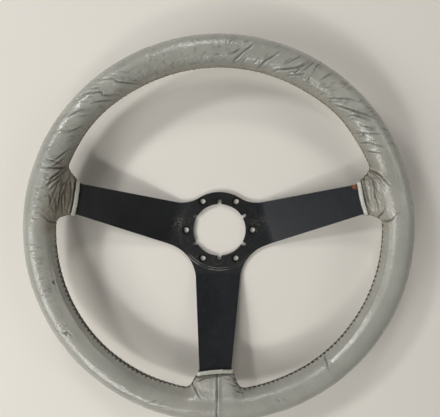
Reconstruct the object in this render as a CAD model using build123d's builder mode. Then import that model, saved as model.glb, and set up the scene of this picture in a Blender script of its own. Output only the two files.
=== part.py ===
"""Three-spoke dished sports steering wheel with a leather-covered rim, for a boss with six bolts.

Frame: millimetres, +Z towards the driver, +Y towards twelve o'clock. The origin is on the wheel's axis, on the
hub's back face. The boss bolts to that face, and the wheel rests on it when it lies down.
"""

import os
from math import asin, cos, degrees, radians, sin, tan

from build123d import *

# ---- driving dimensions -------------------------------------------------------------------------------------------
WHEEL_DIAMETER = 380.0
GRIP_HALF_WIDTH = 14.8  # half of the grip's section, across the wheel
GRIP_HALF_DEPTH = 14.2  # half of the grip's section, along the wheel's axis
GRIP_HEIGHT = 38.0  # centre of the grip's section above the hub's back face

PLATE_THICKNESS = 4.0
HUB_RADIUS = 40.3
CENTRE_HOLE_RADIUS = 27.75
BOLT_CIRCLE_RADIUS = 35.0
BOLT_COUNT = 6
BOLT_HOLE_RADIUS = 2.7
COUNTERSINK_RADIUS = 4.8
NOTCH_WIDTH = 3.8
NOTCH_TIP_RADIUS = 32.4

SIDE_SPOKE_RISE = 16.7  # degrees that the side spokes point above the horizontal
SIDE_SPOKE_DROP = 6.7  # from the wheel's axis down to the middle lines of the side spokes
LOWER_SPOKE_LEAN = 1.75  # degrees to the left, seen by the driver
SPOKE_ANGLES = {"right": SIDE_SPOKE_RISE, "left": 180 - SIDE_SPOKE_RISE, "lower": 270 - LOWER_SPOKE_LEAN}
SPOKE_OFFSETS = {"right": -SIDE_SPOKE_DROP, "left": SIDE_SPOKE_DROP, "lower": 0.0}  # positive anticlockwise
SPOKE_WIDTH_AT_BEND = {"right": 44.6, "left": 44.6, "lower": 47.4}
SPOKE_WIDTH_AT_COLLAR = {"right": 29.9, "left": 29.9, "lower": 32.3}
COLLAR_PLACES = {"right": 147.0, "left": 147.2, "lower": 145.2}  # end of the leather, along a spoke's middle line
CORNER_FILLET = 40.0  # between two spokes
SHOULDER_FILLET = 32.0  # between the hub's round top and a side spoke
FLAT_RADIUS = 45.0  # the plate is flat this far from the axis
SHEET_HALF_WIDTH = 38.0  # of the sheet that a spoke is cut from
INNER_BEND = 49.0  # along a spoke's middle line, where it starts to rise
OUTER_BEND = 163.0  # the bend back inside the grip
TAB_END = 183.0
SPOKE_SLOPE = 15.0  # degrees
BEND_FILLET = 25.0  # at the middle of the plate's thickness

HOOP_WIDTH = 14.0
HOOP_THICKNESS = 5.0
HOOP_CHAMFER = 0.6
RIVET_RADIUS = 2.5
RIVET_SPACING = 15.0
RIVET_HEAD_RADIUS = 4.3
RIVET_HEAD_HEIGHT = 2.0

LEATHER_THICKNESS = 1.2
GLUE_LINE = 0.2  # between the leather and the foam
SEAM_DROP = 18.0  # degrees that the inner seam lies below the inside of the grip
SEAM_GAP = 1.4
BUTT_SEAM_GAP = 0.9  # where the two ends of the leather meet, near six o'clock
BUTT_SEAM_ANGLE = 269.1  # degrees
THREAD_RADIUS = 0.45
BUTT_THREAD_RADIUS = 0.3
ROOT_HALF_ANGLE = 9.6  # degrees each side of a spoke that the leather around its root takes up
SIDE_SEAM_REACH = 27.0  # from the middle of a spoke
COLLAR_THREAD_BEND = 12.0
BUTT_THREAD_REACH = 100.0  # degrees each side of the grip's outermost point
HEM_LENGTH = 3.2
HEM_MARGINS = (1.3, 2.4)  # beyond each edge of the spoke, at the hem's two ends
HEM_HALF_DEPTHS = (4.4, 5.4)
HEM_ROUNDNESS = 0.9  # corner radius over half depth
COLLAR_ROUNDING = 6.0  # length of a root's narrow end
ROOT_PLACES_IN_GRIP = (-2.0, 8.0)  # beyond the inside of the grip
ROOT_MARGINS = (2.0, 4.0, 9.0, 16.0)  # beyond each edge of the spoke, from the collar outwards
ROOT_HALF_DEPTHS = (5.0, 6.8, 10.0, 12.6)
ROOT_LIFT = 0.6  # of the second section above the middle of the plate
ROOT_DROPS = (4.6, 1.0)  # of the last two sections below the middle of the grip
ROOT_ROUNDNESS = 0.96  # corner radius over half depth
FIT_CLEARANCE = 0.15  # between a hem and the plate

# ---- derived places -----------------------------------------------------------------------------------------------
GRIP_RADIUS = WHEEL_DIAMETER / 2 - GRIP_HALF_WIDTH
GRIP_INNER_RADIUS = GRIP_RADIUS - GRIP_HALF_WIDTH
RISE = tan(radians(SPOKE_SLOPE))


def plate_height(distance):
    """Height of the middle of the plate at a distance along a spoke, where it slopes."""
    return PLATE_THICKNESS / 2 + (distance - INNER_BEND) * RISE


TAB_MIDDLE = plate_height(OUTER_BEND)
TAB_BOTTOM = TAB_MIDDLE - PLATE_THICKNESS / 2
TAB_TOP = TAB_MIDDLE + PLATE_THICKNESS / 2
HOOP_TOP = TAB_TOP + HOOP_THICKNESS


def direction(angle):
    """Unit vector away from the wheel's axis."""
    return Vector(cos(radians(angle)), sin(radians(angle)), 0)


def spoke_point(name, distance, across=0, height=0):
    """Point at a distance along a spoke's middle line, and beside it on its anticlockwise side."""
    angle = SPOKE_ANGLES[name]
    sideways = direction(angle + 90) * (SPOKE_OFFSETS[name] + across)
    return direction(angle) * distance + sideways + Vector(0, 0, height)


def across_spoke(name, distance, height=0):
    """Plane across a spoke, at a distance along it: x to its clockwise side, y up."""
    angle = SPOKE_ANGLES[name]
    origin = spoke_point(name, distance, 0, height)
    return Plane(origin=origin, x_dir=direction(angle - 90), z_dir=-direction(angle))


def along_spoke(name):
    """Upright plane along the middle line of a spoke: x outwards, y up."""
    angle = SPOKE_ANGLES[name]
    return Plane(origin=spoke_point(name, 0), x_dir=direction(angle), z_dir=direction(angle - 90))


def through_axis(angle):
    """Upright plane through the wheel's axis: x outwards, y up."""
    return Plane(origin=(0, 0, 0), x_dir=direction(angle), z_dir=direction(angle - 90))


def meeting_angle(name):
    """Angle around the wheel where a spoke's middle line meets the inside of the grip."""
    return SPOKE_ANGLES[name] + degrees(asin(SPOKE_OFFSETS[name] / GRIP_INNER_RADIUS))


def spoke_width(name, distance):
    """Width of a spoke at a distance along it."""
    taper = (SPOKE_WIDTH_AT_BEND[name] - SPOKE_WIDTH_AT_COLLAR[name]) / (COLLAR_PLACES[name] - INNER_BEND)
    return SPOKE_WIDTH_AT_COLLAR[name] - taper * (distance - COLLAR_PLACES[name])


def seam_point(depth):
    """Point on the inner seam, as (distance from the axis, height), at a depth under the leather's surface."""
    return (
        GRIP_RADIUS - (GRIP_HALF_WIDTH - depth) * cos(radians(SEAM_DROP)),
        GRIP_HEIGHT - (GRIP_HALF_DEPTH - depth) * sin(radians(SEAM_DROP)),
    )


# ---- spoke plate --------------------------------------------------------------------------------------------------
# the sheet before it is cut out: flat at the hub, rising along each spoke and flat again at each tab
with BuildPart() as pressed_sheet:
    Cylinder(FLAT_RADIUS, PLATE_THICKNESS, align=(Align.CENTER, Align.CENTER, Align.MIN))
    for name in SPOKE_ANGLES:
        with BuildSketch(along_spoke(name)):
            with BuildLine():
                FilletPolyline(
                    (0, PLATE_THICKNESS / 2),
                    (INNER_BEND, PLATE_THICKNESS / 2),
                    (OUTER_BEND, TAB_MIDDLE),
                    (TAB_END + 1, TAB_MIDDLE),
                    radius=BEND_FILLET,
                )
            trace(line_width=PLATE_THICKNESS)
        extrude(amount=SHEET_HALF_WIDTH, both=True)

with BuildSketch() as plate_outline:
    for name in SPOKE_ANGLES:
        at_axis = spoke_width(name, 0) / 2
        at_end = spoke_width(name, TAB_END) / 2
        corners = (
            spoke_point(name, 0, -at_axis),
            spoke_point(name, TAB_END, -at_end),
            spoke_point(name, TAB_END, at_end),
            spoke_point(name, 0, at_axis),
        )
        Polygon(*[(corner.X, corner.Y) for corner in corners], align=None)
    near_hub = [v for v in plate_outline.vertices() if Vector(v).length < 2 * FLAT_RADIUS]
    fillet(ShapeList(near_hub).sort_by(Axis.Y)[:2], radius=CORNER_FILLET)
    Circle(HUB_RADIUS)
    on_hub = [v for v in plate_outline.vertices() if abs(Vector(v).length - HUB_RADIUS) < 0.01 and v.Y > 0]
    fillet(on_hub, radius=SHOULDER_FILLET)

with BuildPart() as spoke_plate:
    add(plate_outline.sketch)
    extrude(amount=HOOP_TOP)
    add(pressed_sheet.part, mode=Mode.INTERSECT)
    with BuildSketch():
        Circle(CENTRE_HOLE_RADIUS)
        with PolarLocations(0, BOLT_COUNT, start_angle=30):
            with Locations((NOTCH_TIP_RADIUS / 2, 0)):
                SlotOverall(NOTCH_TIP_RADIUS, NOTCH_WIDTH)
    extrude(amount=PLATE_THICKNESS, mode=Mode.SUBTRACT)
    with Locations(Plane.XY.offset(PLATE_THICKNESS)):
        with PolarLocations(BOLT_CIRCLE_RADIUS, BOLT_COUNT):
            CounterSinkHole(BOLT_HOLE_RADIUS, COUNTERSINK_RADIUS, depth=PLATE_THICKNESS, counter_sink_angle=90)
    for name in SPOKE_ANGLES:
        with Locations(Plane(origin=spoke_point(name, GRIP_RADIUS), x_dir=direction(SPOKE_ANGLES[name]))):
            with Locations((0, -RIVET_SPACING / 2, TAB_TOP), (0, RIVET_SPACING / 2, TAB_TOP)):
                Hole(RIVET_RADIUS, depth=PLATE_THICKNESS)
spoke_plate.part.label = "spoke_plate"

# ---- hoop inside the rim --------------------------------------------------------------------------------------------
with BuildPart() as rim_hoop:
    with BuildSketch(Plane.XY.offset(TAB_TOP)):
        Circle(GRIP_RADIUS + HOOP_WIDTH / 2)
        Circle(GRIP_RADIUS - HOOP_WIDTH / 2, mode=Mode.SUBTRACT)
    extrude(amount=HOOP_THICKNESS)
    chamfer(rim_hoop.edges().filter_by(GeomType.CIRCLE), length=HOOP_CHAMFER)
    for name in SPOKE_ANGLES:
        with Locations(Plane(origin=spoke_point(name, GRIP_RADIUS), x_dir=direction(SPOKE_ANGLES[name]))):
            with Locations((0, -RIVET_SPACING / 2, HOOP_TOP), (0, RIVET_SPACING / 2, HOOP_TOP)):
                Hole(RIVET_RADIUS, depth=HOOP_THICKNESS)
rim_hoop.part.label = "rim_hoop"


# ---- rivets that hold the spokes to the hoop ------------------------------------------------------------------------
def spoke_rivets(name):
    """The two rivets at the end of one spoke, each with a rounded head on the hoop and one under the tab."""
    shank_length = HOOP_TOP - TAB_BOTTOM
    with BuildPart() as rivets:
        with Locations(Plane(origin=spoke_point(name, GRIP_RADIUS), x_dir=direction(SPOKE_ANGLES[name]))):
            with Locations(
                (0, -RIVET_SPACING / 2, TAB_BOTTOM + shank_length / 2),
                (0, RIVET_SPACING / 2, TAB_BOTTOM + shank_length / 2),
            ):
                Cylinder(RIVET_RADIUS, shank_length)
                with Locations((0, 0, shank_length / 2), (0, 0, -shank_length / 2 - RIVET_HEAD_HEIGHT)):
                    Cylinder(RIVET_HEAD_RADIUS, RIVET_HEAD_HEIGHT, align=(Align.CENTER, Align.CENTER, Align.MIN))
        rims = rivets.edges().filter_by(GeomType.CIRCLE).group_by(Axis.Z)
        fillet(rims[0] + rims[-1], radius=RIVET_HEAD_HEIGHT - 0.3)
    return rivets.part


rivet_parts = {}
for name in SPOKE_ANGLES:
    rivet_parts[name] = spoke_rivets(name)
    rivet_parts[name].label = f"spoke_rivets_{name}"


# ---- rim with the roots that reach out along the spokes -------------------------------------------------------------
def root_sections(name):
    """Sections of the root around a spoke: place along it, half width, half depth, height of the centre."""
    collar = COLLAR_PLACES[name]
    plate_half_width = spoke_width(name, collar) / 2
    places = [collar, collar + COLLAR_ROUNDING]
    places += [GRIP_INNER_RADIUS + beyond for beyond in ROOT_PLACES_IN_GRIP]
    heights = [plate_height(places[0]), plate_height(places[1]) + ROOT_LIFT]
    heights += [GRIP_HEIGHT - drop for drop in ROOT_DROPS]
    half_widths = [plate_half_width + margin for margin in ROOT_MARGINS]
    return list(zip(places, half_widths, ROOT_HALF_DEPTHS, heights))


def covered_rim(depth):
    """The whole rim with its three roots, at a depth under the surface of the leather."""
    with BuildPart() as body:
        with BuildSketch(Plane.XZ):
            with Locations((GRIP_RADIUS, GRIP_HEIGHT)):
                Ellipse(GRIP_HALF_WIDTH - depth, GRIP_HALF_DEPTH - depth)
        revolve(axis=Axis.Z)
        for name in SPOKE_ANGLES:
            for distance, half_width, half_depth, height in root_sections(name):
                with BuildSketch(across_spoke(name, distance, height)):
                    RectangleRounded(
                        2 * (half_width - depth),
                        2 * (half_depth - depth),
                        ROOT_ROUNDNESS * (half_depth - depth),
                    )
            loft()
    return body.part


with BuildPart() as rim_foam_core:
    add(covered_rim(LEATHER_THICKNESS + GLUE_LINE))
    add(spoke_plate.part, mode=Mode.SUBTRACT)
    add(rim_hoop.part, mode=Mode.SUBTRACT)
    for name in SPOKE_ANGLES:
        add(rivet_parts[name], mode=Mode.SUBTRACT)
rim_foam_core.part.label = "rim_foam_core"

# ---- leather, sewn along the inside of the rim and butted near six o'clock ------------------------------------------
def side_seam(name, depth):
    """Line of the seam beside a spoke's root, from the hem to the inner seam: (place along the spoke, height)."""
    collar = COLLAR_PLACES[name]
    return (collar, plate_height(collar)), seam_point(depth)


with BuildPart() as butt_seam_slot:
    with BuildSketch(through_axis(BUTT_SEAM_ANGLE)):
        with Locations((GRIP_RADIUS, GRIP_HEIGHT)):
            Rectangle(2 * (GRIP_RADIUS - FLAT_RADIUS), 2 * GRIP_HEIGHT)
    extrude(amount=BUTT_SEAM_GAP / 2, both=True)

with BuildPart() as leather_cover:
    add(covered_rim(0))
    add(covered_rim(LEATHER_THICKNESS), mode=Mode.SUBTRACT)
    with BuildSketch(Plane.XZ):
        with Locations(seam_point(0)):
            Rectangle(4 * LEATHER_THICKNESS, SEAM_GAP, rotation=SEAM_DROP)
    revolve(axis=Axis.Z, mode=Mode.SUBTRACT)
    for name in SPOKE_ANGLES:
        with BuildSketch(along_spoke(name)):
            with BuildLine():
                Line(*side_seam(name, 0))
            trace(line_width=SEAM_GAP)
        extrude(amount=SIDE_SEAM_REACH, both=True, mode=Mode.SUBTRACT)
    add(butt_seam_slot.part, mode=Mode.SUBTRACT)
leather_cover.part.label = "leather_cover"


def collar_hem(name):
    """Strip of leather around a spoke that finishes the end of its root."""
    collar = COLLAR_PLACES[name]
    with BuildPart() as hem:
        ends = zip((collar - HEM_LENGTH, collar - GLUE_LINE), HEM_MARGINS, HEM_HALF_DEPTHS)
        for distance, margin, half_depth in ends:
            with BuildSketch(across_spoke(name, distance, plate_height(distance))):
                RectangleRounded(
                    spoke_width(name, distance) + 2 * margin,
                    2 * half_depth,
                    HEM_ROUNDNESS * half_depth,
                )
        loft()
        for distance in (collar - 2 * HEM_LENGTH, collar + HEM_LENGTH):
            with BuildSketch(across_spoke(name, distance, plate_height(distance))):
                Rectangle(
                    spoke_width(name, distance) + 2 * FIT_CLEARANCE,
                    PLATE_THICKNESS / cos(radians(SPOKE_SLOPE)) + 2 * FIT_CLEARANCE,
                )
        loft(mode=Mode.SUBTRACT)
        if name == "lower":
            add(butt_seam_slot.part, mode=Mode.SUBTRACT)
    return hem.part


hem_parts = {}
for name in SPOKE_ANGLES:
    hem_parts[name] = collar_hem(name)
    hem_parts[name].label = f"collar_hem_{name}"


# ---- thread ---------------------------------------------------------------------------------------------------------
def collar_thread(name):
    """The threads in the two side seams of a spoke's root."""
    middle = LEATHER_THICKNESS / 2
    (start, start_height), (end, end_height) = side_seam(name, middle)
    with BuildPart() as threads:
        for side in (-1, 1):
            points = []
            for distance, half_width, _, _ in root_sections(name)[:3]:
                height = start_height + (distance - start) * (end_height - start_height) / (end - start)
                points.append(spoke_point(name, distance, side * (half_width - middle), height))
            with BuildLine() as path:
                FilletPolyline(*points, radius=COLLAR_THREAD_BEND)
            with BuildSketch(Plane(origin=path.line @ 0, z_dir=path.line % 0)):
                Circle(THREAD_RADIUS)
            sweep(path=path.line)
    return threads.part


thread_parts = {}
for name in SPOKE_ANGLES:
    thread_parts[f"collar_thread_{name}"] = collar_thread(name)

seam_spans = {
    "upper": ("right", "left"),
    "lower_left": ("left", "lower"),
    "lower_right": ("lower", "right"),
}
for span, (first, last) in seam_spans.items():
    start = meeting_angle(first) + ROOT_HALF_ANGLE
    sweep_angle = (meeting_angle(last) - meeting_angle(first)) % 360 - 2 * ROOT_HALF_ANGLE
    with BuildPart() as seam_thread:
        with BuildSketch(through_axis(start)):
            with Locations(seam_point(LEATHER_THICKNESS / 2)):
                Circle(THREAD_RADIUS)
        revolve(axis=Axis.Z, revolution_arc=sweep_angle)
    thread_parts[f"inner_seam_thread_{span}"] = seam_thread.part

with BuildPart() as bottom_seam_thread:
    with BuildLine(through_axis(BUTT_SEAM_ANGLE)) as seam_path:
        EllipticalCenterArc(
            (GRIP_RADIUS, GRIP_HEIGHT),
            GRIP_HALF_WIDTH - LEATHER_THICKNESS / 2,
            GRIP_HALF_DEPTH - LEATHER_THICKNESS / 2,
            start_angle=-BUTT_THREAD_REACH,
            arc_size=2 * BUTT_THREAD_REACH,
        )
    with BuildSketch(Plane(origin=seam_path.line @ 0, z_dir=seam_path.line % 0)):
        Circle(BUTT_THREAD_RADIUS)
    sweep(path=seam_path.line)
thread_parts["bottom_seam_thread"] = bottom_seam_thread.part
for node, thread in thread_parts.items():
    thread.label = node

os.makedirs("parts", exist_ok=True)
pieces = [
    spoke_plate.part,
    rim_hoop.part,
    *rivet_parts.values(),
    rim_foam_core.part,
    leather_cover.part,
    *hem_parts.values(),
    *thread_parts.values(),
]
for piece in pieces:
    export_step(piece, f"parts/{piece.label}.step")
    print(piece.label, len(piece.solids()), round(piece.volume, 1), piece.is_valid)
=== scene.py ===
"""Looks of a leather-covered sports steering wheel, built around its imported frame.

Everything is in metres in the frame's own axes: +Z towards the driver, +Y towards twelve o'clock, and
the origin on the wheel's axis at the hub's back face. A place on the grip is two angles in degrees: one
around the wheel, anticlockwise from three o'clock, and one around the grip's section, from 0 at its
outermost point over 90 on the driver's side to 180 on the inside. A place on a root, where the rim reaches
out along a spoke, is in millimetres: the distance from the wheel's axis, and the distance from the middle
of the spoke on its anticlockwise side.
"""

import math

import bpy
import numpy as np
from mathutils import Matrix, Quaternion, Vector, noise


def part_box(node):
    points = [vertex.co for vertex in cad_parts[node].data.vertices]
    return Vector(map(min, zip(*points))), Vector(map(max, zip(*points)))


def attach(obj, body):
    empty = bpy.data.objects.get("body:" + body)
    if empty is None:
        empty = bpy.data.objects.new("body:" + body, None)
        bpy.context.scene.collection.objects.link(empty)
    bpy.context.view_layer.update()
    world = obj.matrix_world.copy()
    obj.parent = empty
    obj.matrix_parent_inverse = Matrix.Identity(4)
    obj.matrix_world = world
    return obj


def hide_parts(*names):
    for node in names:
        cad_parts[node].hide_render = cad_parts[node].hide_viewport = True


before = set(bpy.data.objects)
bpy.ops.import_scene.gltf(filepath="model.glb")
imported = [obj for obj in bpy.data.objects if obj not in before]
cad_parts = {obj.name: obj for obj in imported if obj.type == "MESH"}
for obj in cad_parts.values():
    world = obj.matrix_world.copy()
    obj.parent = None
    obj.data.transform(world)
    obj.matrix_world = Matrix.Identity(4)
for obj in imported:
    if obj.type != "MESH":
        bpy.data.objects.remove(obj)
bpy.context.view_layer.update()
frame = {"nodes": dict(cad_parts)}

MM = 0.001
GRIP_HALF_WIDTH = 14.8 * MM
GRIP_HALF_DEPTH = 14.2 * MM
LEATHER_THICKNESS = 1.2 * MM
SEAM_DROP = 18.0  # degrees that the inner seam lies below the inside of the grip, near a spoke
BUTT_SEAM_ANGLE = 269.1  # degrees, where the two ends of the leather meet
SPOKE_ANGLES = {"right": 16.7, "left": 163.3, "lower": 268.25}
SPOKE_OFFSETS = {"right": -6.7 * MM, "left": 6.7 * MM, "lower": 0.0}  # of a spoke's middle line from the axis
SPOKE_SLOPE = math.tan(math.radians(15.0))
PLATE_HALF_THICKNESS = 2.0 * MM
PLATE_HALF_WIDTH = {"right": 14.95 * MM, "left": 14.95 * MM, "lower": 16.15 * MM}  # at the collar
HEM_TILTS = {"right": 0.03, "left": -0.11, "lower": -0.11}  # rise of its distance towards anticlockwise
HEM_MIDDLE = 1.7 * MM  # from the end of the leather to the middle of its hem
CROTCH_BLEND = 5.5 * MM  # how softly a root runs into the grip
STITCH_PITCH = 5.0 * MM
THREAD_RADIUS = 0.45 * MM
FINE_THREAD_RADIUS = 0.3 * MM
LEATHER_VOXEL = 0.9 * MM
LINING_VOXEL = 3.2 * MM
SEED = 11

_, leather_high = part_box("leather_cover")
OUTER_RADIUS = leather_high.x
GRIP_HEIGHT = leather_high.z - GRIP_HALF_DEPTH


# ---- small mathematics -----------------------------------------------------------------------
def unit(vectors):
    """The same vectors with a length of one."""
    return vectors / np.maximum(np.linalg.norm(vectors, axis=-1, keepdims=True), 1e-12)


def ease(low, high, values):
    """0 below low, 1 above high, and a smooth rise in between."""
    share = np.clip((values - low) / (high - low), 0, 1)
    return share * share * (3 - 2 * share)


def angle_between(first, second):
    """Difference of two angles in degrees, from -180 to 180."""
    return (np.asarray(first) - second + 180) % 360 - 180


def bump(values, centre, reach):
    """A soft hump of height one."""
    return np.exp(-(((values - centre) / reach) ** 2))


def soft_noise(points, size, seed=0):
    """Smooth noise from -1 to 1 over points in metres, with features of a size in metres."""
    shift = Vector((7.3, 1.9, 4.1)) * seed
    return np.array([noise.noise(Vector(p) / size + shift) for p in points.tolist()])


def creased_noise(points, size, seed=0):
    """Noise from 0 to 1 that has thin valleys, as fine wrinkles have."""
    return np.minimum(np.abs(soft_noise(points, size, seed)) * 4, 1)


def smooth_path(points, steps=8):
    """A smooth curve through the points, in short straight steps."""
    points = np.asarray(points, float)
    padded = np.vstack([2 * points[0] - points[1], points, 2 * points[-1] - points[-2]])
    share = np.linspace(0, 1, steps, endpoint=False)[:, None]
    curve = []
    for before, start, end, after in zip(padded, padded[1:], padded[2:], padded[3:]):
        bend = 2 * before - 5 * start + 4 * end - after
        twist = 3 * (start - end) + after - before
        curve.append(start + 0.5 * share * ((end - before) + share * (bend + share * twist)))
    return np.vstack([*curve, points[-1:]])


def evenly(path, pitch):
    """Points along a path at an even pitch."""
    lengths = np.concatenate([[0], np.cumsum(np.linalg.norm(np.diff(path, axis=0), axis=1))])
    places = np.linspace(0, lengths[-1], max(2, round(lengths[-1] / pitch) + 1))
    return np.stack([np.interp(places, lengths, path[:, axis]) for axis in range(3)], axis=1)


# ---- spokes and the surface of the rim -------------------------------------------------------
class Spoke:
    """One spoke's own axes, and the sections of the root that covers its end."""

    def __init__(self, name):
        low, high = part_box(f"collar_hem_{name}")
        middle = np.array((low + high) / 2)
        turn = math.radians(SPOKE_ANGLES[name])
        self.name = name
        self.outwards = np.array([math.cos(turn), math.sin(turn), 0])
        self.sideways = np.array([-self.outwards[1], self.outwards[0], 0])
        self.offset = SPOKE_OFFSETS[name]
        self.tilt = HEM_TILTS[name]
        self.hem = middle @ self.outwards
        self.hem_height = middle[2]
        self.collar = self.hem + HEM_MIDDLE
        self.plate = PLATE_HALF_WIDTH[name]
        meeting = self.place(OUTER_RADIUS - 2 * GRIP_HALF_WIDTH, 0, 0)
        self.angle = math.degrees(math.atan2(meeting[1], meeting[0])) % 360  # where it meets the grip
        distances = np.array([self.collar - 3 * MM, self.collar + 4 * MM, 158.4 * MM, 168.4 * MM])
        half_widths = self.plate + np.array([1.8, 4.2, 9.4, 16.0]) * MM
        half_depths = np.array([4.9, 6.8, 10.0, 12.6]) * MM
        heights = [self.height(distances[0]), self.height(distances[1]) + 0.5 * MM]
        heights += [GRIP_HEIGHT - 4.6 * MM, GRIP_HEIGHT - 1.0 * MM]
        sizes = (half_widths, half_depths, heights)
        self.fits = [np.polyfit(distances - self.collar, size, 3) for size in sizes]
        self.end = distances[-1]

    def height(self, distance):
        """Height of the middle of the plate."""
        return self.hem_height + (distance - self.hem) * SPOKE_SLOPE

    def place(self, distance, across, height):
        """A point given in this spoke's own axes."""
        return self.outwards * distance + self.sideways * (self.offset + across) + np.array([0, 0, height])

    def beside(self, points):
        """How far points lie on the anticlockwise side of the spoke's middle line."""
        return points @ self.sideways - self.offset

    def solid(self, points):
        """Distance outside the root's surface, negative inside it."""
        along = points @ self.outwards
        place = np.clip(along, self.collar - 3 * MM, self.end) - self.collar
        half_width, half_depth, height = (np.polyval(fit, place) for fit in self.fits)
        corner = 0.9 * half_depth
        across = np.abs(self.beside(points)) - half_width + corner
        up = np.abs(points[:, 2] - height) - half_depth + corner
        rounded = np.hypot(np.maximum(across, 0), np.maximum(up, 0))
        outside = rounded + np.minimum(np.maximum(across, up), 0) - corner
        outside = join_softly(outside, self.collar + self.tilt * self.beside(points) - along, -2.2 * MM)
        return np.maximum(outside, along - self.end - 2 * MM)


def join_softly(first, second, blend):
    """The smaller of two distances, rounded where they meet, or the larger if the blend is negative."""
    sign = math.copysign(1, blend)
    size = abs(blend)
    first, second = sign * first, sign * second
    overlap = np.maximum(size - np.abs(first - second), 0) / size
    return sign * (np.minimum(first, second) - overlap * overlap * size / 4)


SPOKES = {name: Spoke(name) for name in ("right", "left", "lower")}

# stretches of the rim where the grip is thinner or thicker: angle, reach in degrees, change of its width
WIDTH_CHANGES = [(137, 15, -1.7 * MM), (46, 9, -1.3 * MM), (292, 12, 0.7 * MM), (222, 16, -0.5 * MM)]


def half_width_at(angles):
    """Half width of the grip around the wheel."""
    total = sum(
        change * bump(angle_between(angles, place), 0, reach) for place, reach, change in WIDTH_CHANGES
    )
    return GRIP_HALF_WIDTH + total / 2


def grip_solid(points):
    """Distance outside the grip's surface, negative inside it."""
    half_width = half_width_at(np.degrees(np.arctan2(points[:, 1], points[:, 0])))
    out = np.hypot(points[:, 0], points[:, 1]) - (OUTER_RADIUS - half_width)
    up = points[:, 2] - GRIP_HEIGHT
    reach = np.maximum(np.hypot(out / half_width, up / GRIP_HALF_DEPTH), 1e-6)
    slope = np.hypot(out / half_width**2, up / GRIP_HALF_DEPTH**2) / reach
    return (reach - 1) / np.maximum(slope, 1e-6)


def rim_solid(points):
    """Distance outside the rim with its three roots, negative inside it."""
    outside = grip_solid(points)
    for spoke in SPOKES.values():
        near = np.linalg.norm(points - spoke.outwards * spoke.end, axis=1) < 75 * MM
        if near.any():
            outside[near] = join_softly(outside[near], spoke.solid(points[near]), CROTCH_BLEND)
    return outside


def rim_normals(points):
    """Outward directions of the rim's surface."""
    step = 0.1 * MM
    slopes = []
    for axis in np.eye(3) * step:
        slopes.append(rim_solid(points + axis) - rim_solid(points - axis))
    return unit(np.stack(slopes, axis=1))


def onto_rim(points, depth=0.0, rounds=3):
    """The points moved onto the rim's surface, or to a depth under it."""
    for _ in range(rounds):
        points = points - rim_normals(points) * (rim_solid(points) + depth)[:, None]
    return points


def on_grip(around, section):
    """The point of the grip's surface at its two angles."""
    around, section = np.asarray(around, float), np.radians(section)
    half_width = half_width_at(around)
    distance = OUTER_RADIUS - half_width + half_width * np.cos(section)
    height = GRIP_HEIGHT + GRIP_HALF_DEPTH * np.sin(section)
    turn = np.radians(around)
    return np.stack([distance * np.cos(turn), distance * np.sin(turn), height], axis=-1)


def grip_path(places, steps=8):
    """A smooth path on the grip through places given as pairs of angles."""
    return onto_rim(smooth_path(on_grip(*np.array(places, float).T), steps), rounds=1)


def on_root(spoke, places, side=1):
    """Points on a root's surface on the driver's side, or with side -1 on the back."""
    points = [spoke.place(distance * MM, across * MM, GRIP_HEIGHT) for distance, across in places]
    points = np.array(points)
    points[:, 2] = GRIP_HEIGHT + side * 20 * MM
    for _ in range(40):
        points[:, 2] -= side * 0.8 * np.maximum(rim_solid(points), 0)
    return onto_rim(points, rounds=1)


# ---- meshes ----------------------------------------------------------------------------------
def new_object(name, vertices, faces, smooth=True):
    """A mesh object in the scene."""
    mesh = bpy.data.meshes.new(name)
    mesh.from_pydata([tuple(v) for v in vertices], [], faces)
    mesh.update()
    piece = bpy.data.objects.new(name, mesh)
    bpy.context.scene.collection.objects.link(piece)
    if smooth:
        mesh.polygons.foreach_set("use_smooth", [True] * len(mesh.polygons))
    return piece


def tube_faces(rings, size, closed):
    """Faces of a tube of rings, closed into a loop or capped at both ends."""
    faces = []
    for ring in range(rings if closed else rings - 1):
        here, there = ring * size, (ring + 1) % rings * size
        for i in range(size):
            j = (i + 1) % size
            faces.append((here + i, here + j, there + j, there + i))
    if not closed:
        faces.append(tuple(reversed(range(size))))
        faces.append(tuple(range((rings - 1) * size, rings * size)))
    return faces


def rough_rim():
    """Vertices and faces of overlapping closed forms that together have about the rim's shape."""
    around = np.repeat(np.arange(0, 360, 1.5), 24)
    section = np.tile(np.arange(0, 360, 15.0), 240)
    vertices = list(on_grip(around, section))
    faces = tube_faces(240, 24, closed=True)
    for spoke in SPOKES.values():
        first = len(vertices)
        for distance in np.linspace(spoke.collar, spoke.end, 5):
            half_width, half_depth, height = (np.polyval(fit, distance - spoke.collar) for fit in spoke.fits)
            for turn in np.radians(np.arange(0, 360, 15)):
                across = half_width * math.copysign(abs(math.cos(turn)) ** 0.4, math.cos(turn))
                up = half_depth * math.copysign(abs(math.sin(turn)) ** 0.4, math.sin(turn))
                vertices.append(spoke.place(distance, across, height + up))
        faces += [tuple(first + i for i in face) for face in tube_faces(5, 24, closed=False)]
    return vertices, faces


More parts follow.
